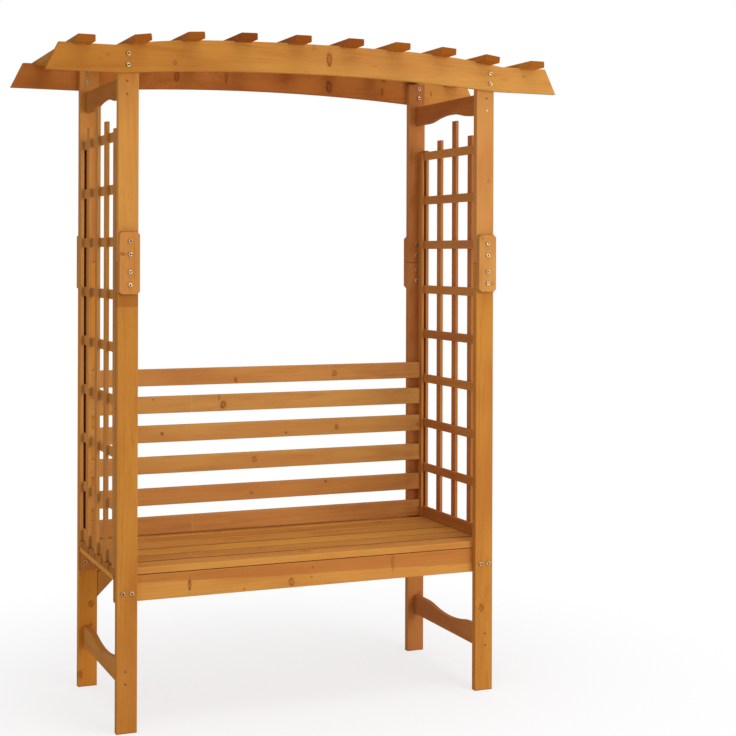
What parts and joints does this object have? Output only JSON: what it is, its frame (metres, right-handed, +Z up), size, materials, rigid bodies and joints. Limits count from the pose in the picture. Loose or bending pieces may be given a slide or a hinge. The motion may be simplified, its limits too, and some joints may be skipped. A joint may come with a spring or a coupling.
{
  "type": "garden arbour seat",
  "caption": "Slatted wooden garden bench under an arched rafter roof carried by four posts, with trellis sides.",
  "frame": {"origin": "middle of the bounding box's base, on the ground", "axes": "+Z up; the open front faces -Y; +X to the right as seen from the front"},
  "size_m": [1.622, 0.7, 2.0079],
  "materials": {
    "stained_softwood": "honey-brown transparent stain on planed softwood",
    "zinc_steel": "zinc plated"
  },
  "bodies": {
    "root": {"apron_bolts": "zinc_steel", "backrest_slat_1": "stained_softwood", "backrest_slat_2": "stained_softwood", "backrest_slat_3": "stained_softwood", "backrest_slat_4": "stained_softwood", "backrest_slat_5": "stained_softwood", "backrest_slat_6": "stained_softwood", "beam_bolts": "zinc_steel", "front_apron": "stained_softwood", "front_beam": "stained_softwood", "gusset_left": "stained_softwood", "gusset_right": "stained_softwood", "lower_post_front_left": "stained_softwood", "lower_post_front_right": "stained_softwood", "lower_post_rear_left": "stained_softwood", "lower_post_rear_right": "stained_softwood", "rafter_1": "stained_softwood", "rafter_10": "stained_softwood", "rafter_2": "stained_softwood", "rafter_3": "stained_softwood", "rafter_4": "stained_softwood", "rafter_5": "stained_softwood", "rafter_6": "stained_softwood", "rafter_7": "stained_softwood", "rafter_8": "stained_softwood", "rafter_9": "stained_softwood", "rear_apron": "stained_softwood", "rear_beam": "stained_softwood", "seat_bearer_centre": "stained_softwood", "seat_bearer_left": "stained_softwood", "seat_bearer_right": "stained_softwood", "seat_slat_1": "stained_softwood", "seat_slat_2": "stained_softwood", "seat_slat_3": "stained_softwood", "seat_slat_4": "stained_softwood", "seat_slat_5": "stained_softwood", "seat_slat_6": "stained_softwood", "side_stretcher_left": "stained_softwood", "side_stretcher_right": "stained_softwood", "splice_bolts": "zinc_steel", "splice_plate_front_left": "stained_softwood", "splice_plate_front_right": "stained_softwood", "splice_plate_rear_left": "stained_softwood", "splice_plate_rear_right": "stained_softwood", "stretcher_screws": "zinc_steel", "top_rail_screws": "zinc_steel", "top_side_rail_left": "stained_softwood", "top_side_rail_right": "stained_softwood", "trellis_battens_left": "stained_softwood", "trellis_battens_right": "stained_softwood", "trellis_rails_left": "stained_softwood", "trellis_rails_right": "stained_softwood", "trellis_uprights_left": "stained_softwood", "trellis_uprights_right": "stained_softwood", "upper_post_front_left": "stained_softwood", "upper_post_front_right": "stained_softwood", "upper_post_rear_left": "stained_softwood", "upper_post_rear_right": "stained_softwood"}
  },
  "joints": []
}
